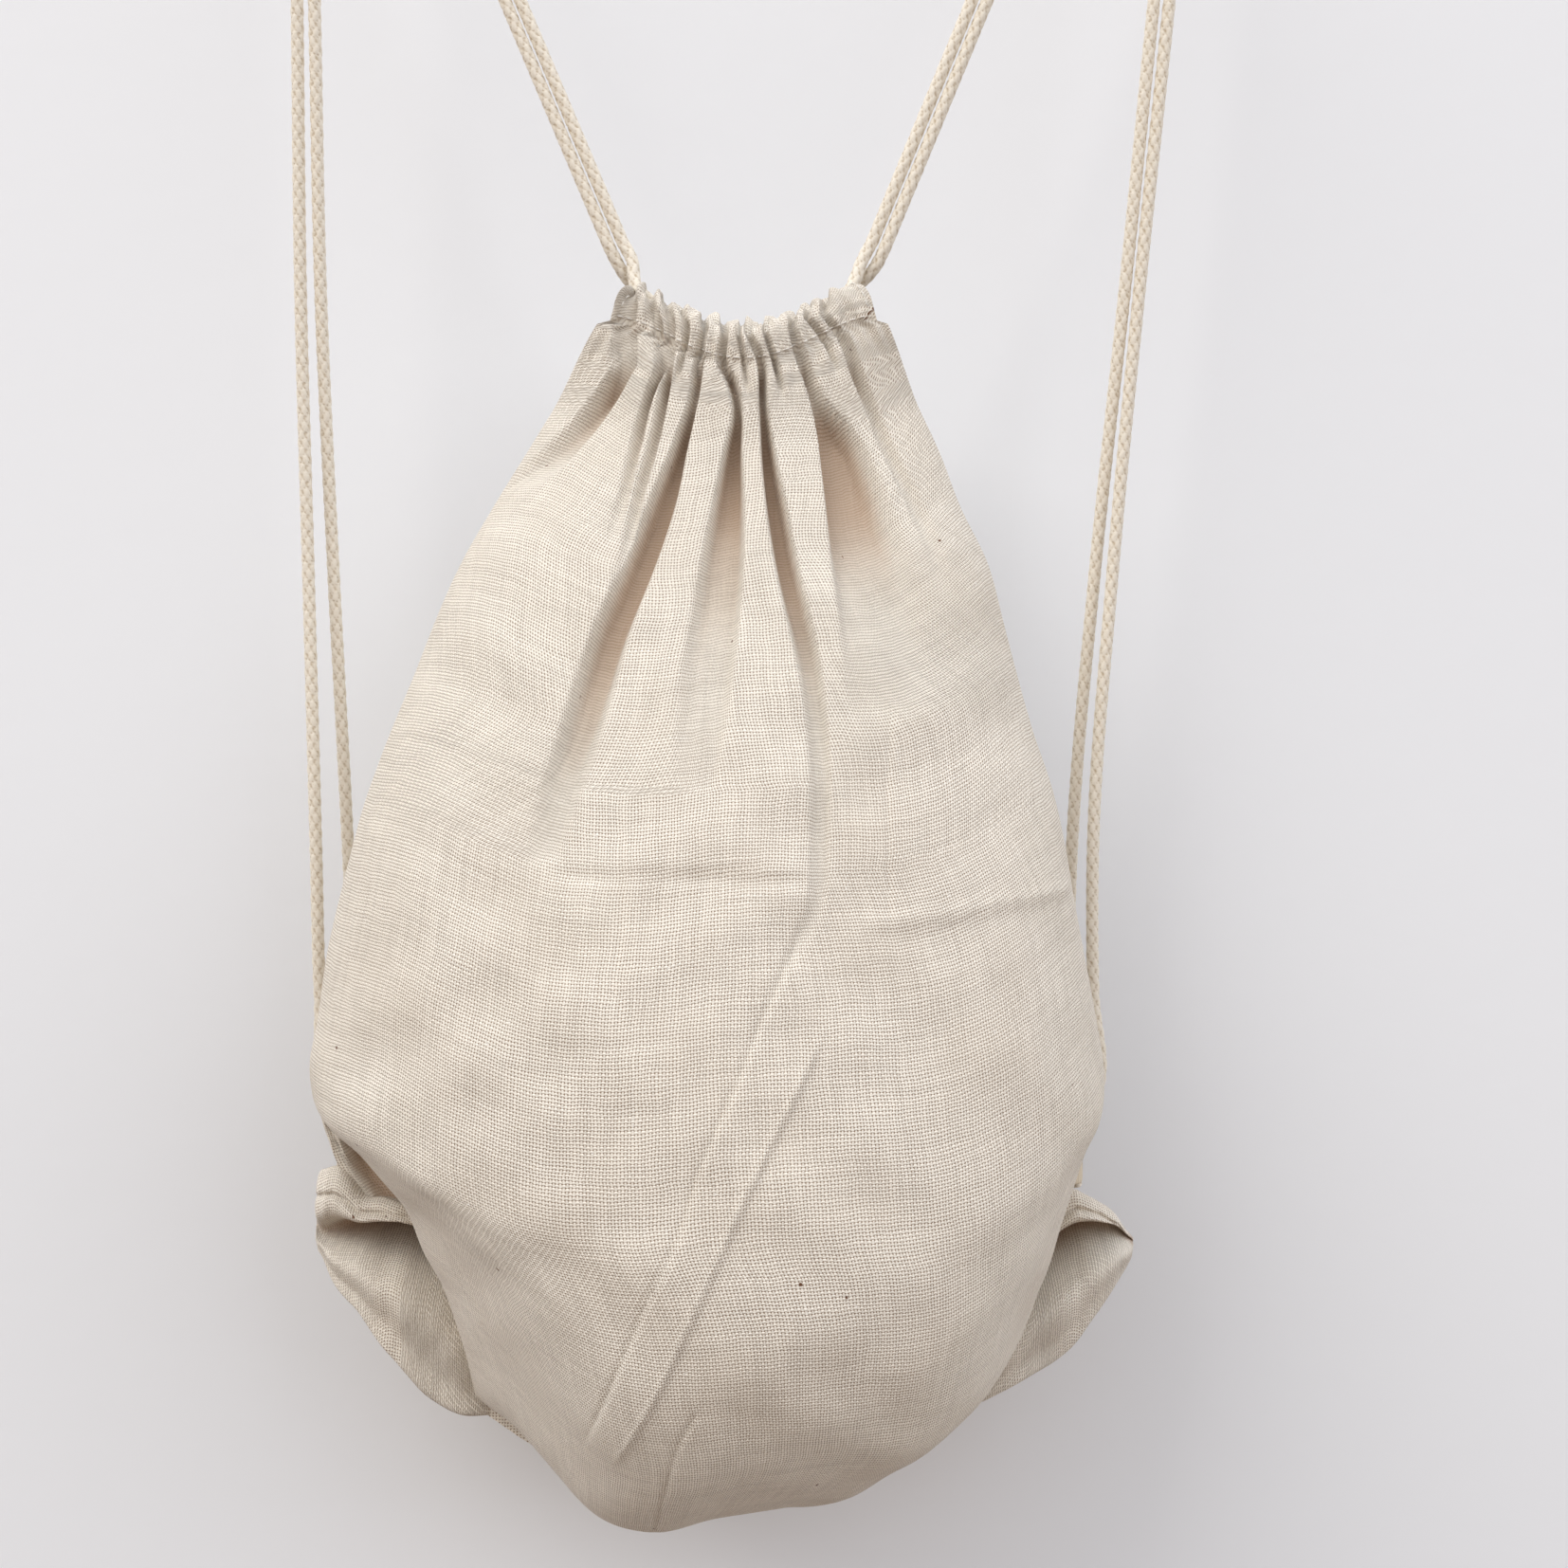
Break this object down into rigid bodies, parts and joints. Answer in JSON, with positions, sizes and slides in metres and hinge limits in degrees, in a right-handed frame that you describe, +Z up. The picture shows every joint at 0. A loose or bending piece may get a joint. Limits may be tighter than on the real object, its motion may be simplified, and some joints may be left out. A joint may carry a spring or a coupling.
{
  "type": "drawstring backpack",
  "caption": "Stuffed cotton drawstring backpack with a gathered neck, folded lower corners and braided cord straps that loop over a hook on each side.",
  "frame": {"origin": "midpoint of the two places where the strap cords bear on their pegs", "axes": "+Z up, -Y towards the front of the bag, +X to the right of the front view"},
  "size_m": [0.3097, 0.1743, 0.6552],
  "materials": {
    "canvas": "coarse plain weave, natural cream, slubs and flecks",
    "cord": "braided cotton, matte, off-white",
    "tape": "woven cotton tape, matte",
    "thread": "cotton sewing thread, white"
  },
  "bodies": {
    "bag": {"front_panel": "canvas", "back_panel": "canvas", "left_side_seam": "canvas", "right_side_seam": "canvas", "bottom_seam": "canvas", "left_corner_tab": "tape", "right_corner_tab": "tape", "left_tab_tack": "thread", "right_tab_tack": "thread", "left_cord_turn": "cord", "left_cord_front_lead": "cord", "left_cord_back_lead": "cord", "right_cord_turn": "cord", "right_cord_front_lead": "cord", "right_cord_back_lead": "cord", "left_knot": "cord", "right_knot": "cord", "left_tail_a": "cord", "left_tail_b": "cord", "right_tail_a": "cord", "right_tail_b": "cord"},
    "front_rim": {"front_casing": "canvas", "front_hem_thread": "thread", "front_left_tack": "thread", "front_right_tack": "thread", "left_cord_front_run": "cord", "right_cord_front_run": "cord"},
    "back_rim": {"back_casing": "canvas", "back_hem_thread": "thread", "back_left_tack": "thread", "back_right_tack": "thread", "left_cord_back_run": "cord", "right_cord_back_run": "cord"},
    "left_strap": {"left_cord_outer_strand": "cord", "left_cord_inner_strand": "cord"},
    "right_strap": {"right_cord_outer_strand": "cord", "right_cord_inner_strand": "cord"}
  },
  "joints": [
    {"name": "front_rim_open", "type": "hinge", "parent": "bag", "child": "front_rim", "pos_m": [0, 0, -0.2351], "axis": [-1, 0, 0], "range_deg": [0, 25]},
    {"name": "back_rim_open", "type": "hinge", "parent": "bag", "child": "back_rim", "pos_m": [0, 0, -0.2351], "axis": [1, 0, 0], "range_deg": [0, 25]},
    {"name": "left_strap_swing", "type": "hinge", "parent": "bag", "child": "left_strap", "pos_m": [-0.1395, 0.034, -0.533], "axis": [-0.2875, 0.1018, -0.9524], "range_deg": [0, 60]},
    {"name": "right_strap_swing", "type": "hinge", "parent": "bag", "child": "right_strap", "pos_m": [0.117, 0.034, -0.533], "axis": [-0.2182, -0.1038, 0.9704], "range_deg": [0, 60]}
  ]
}
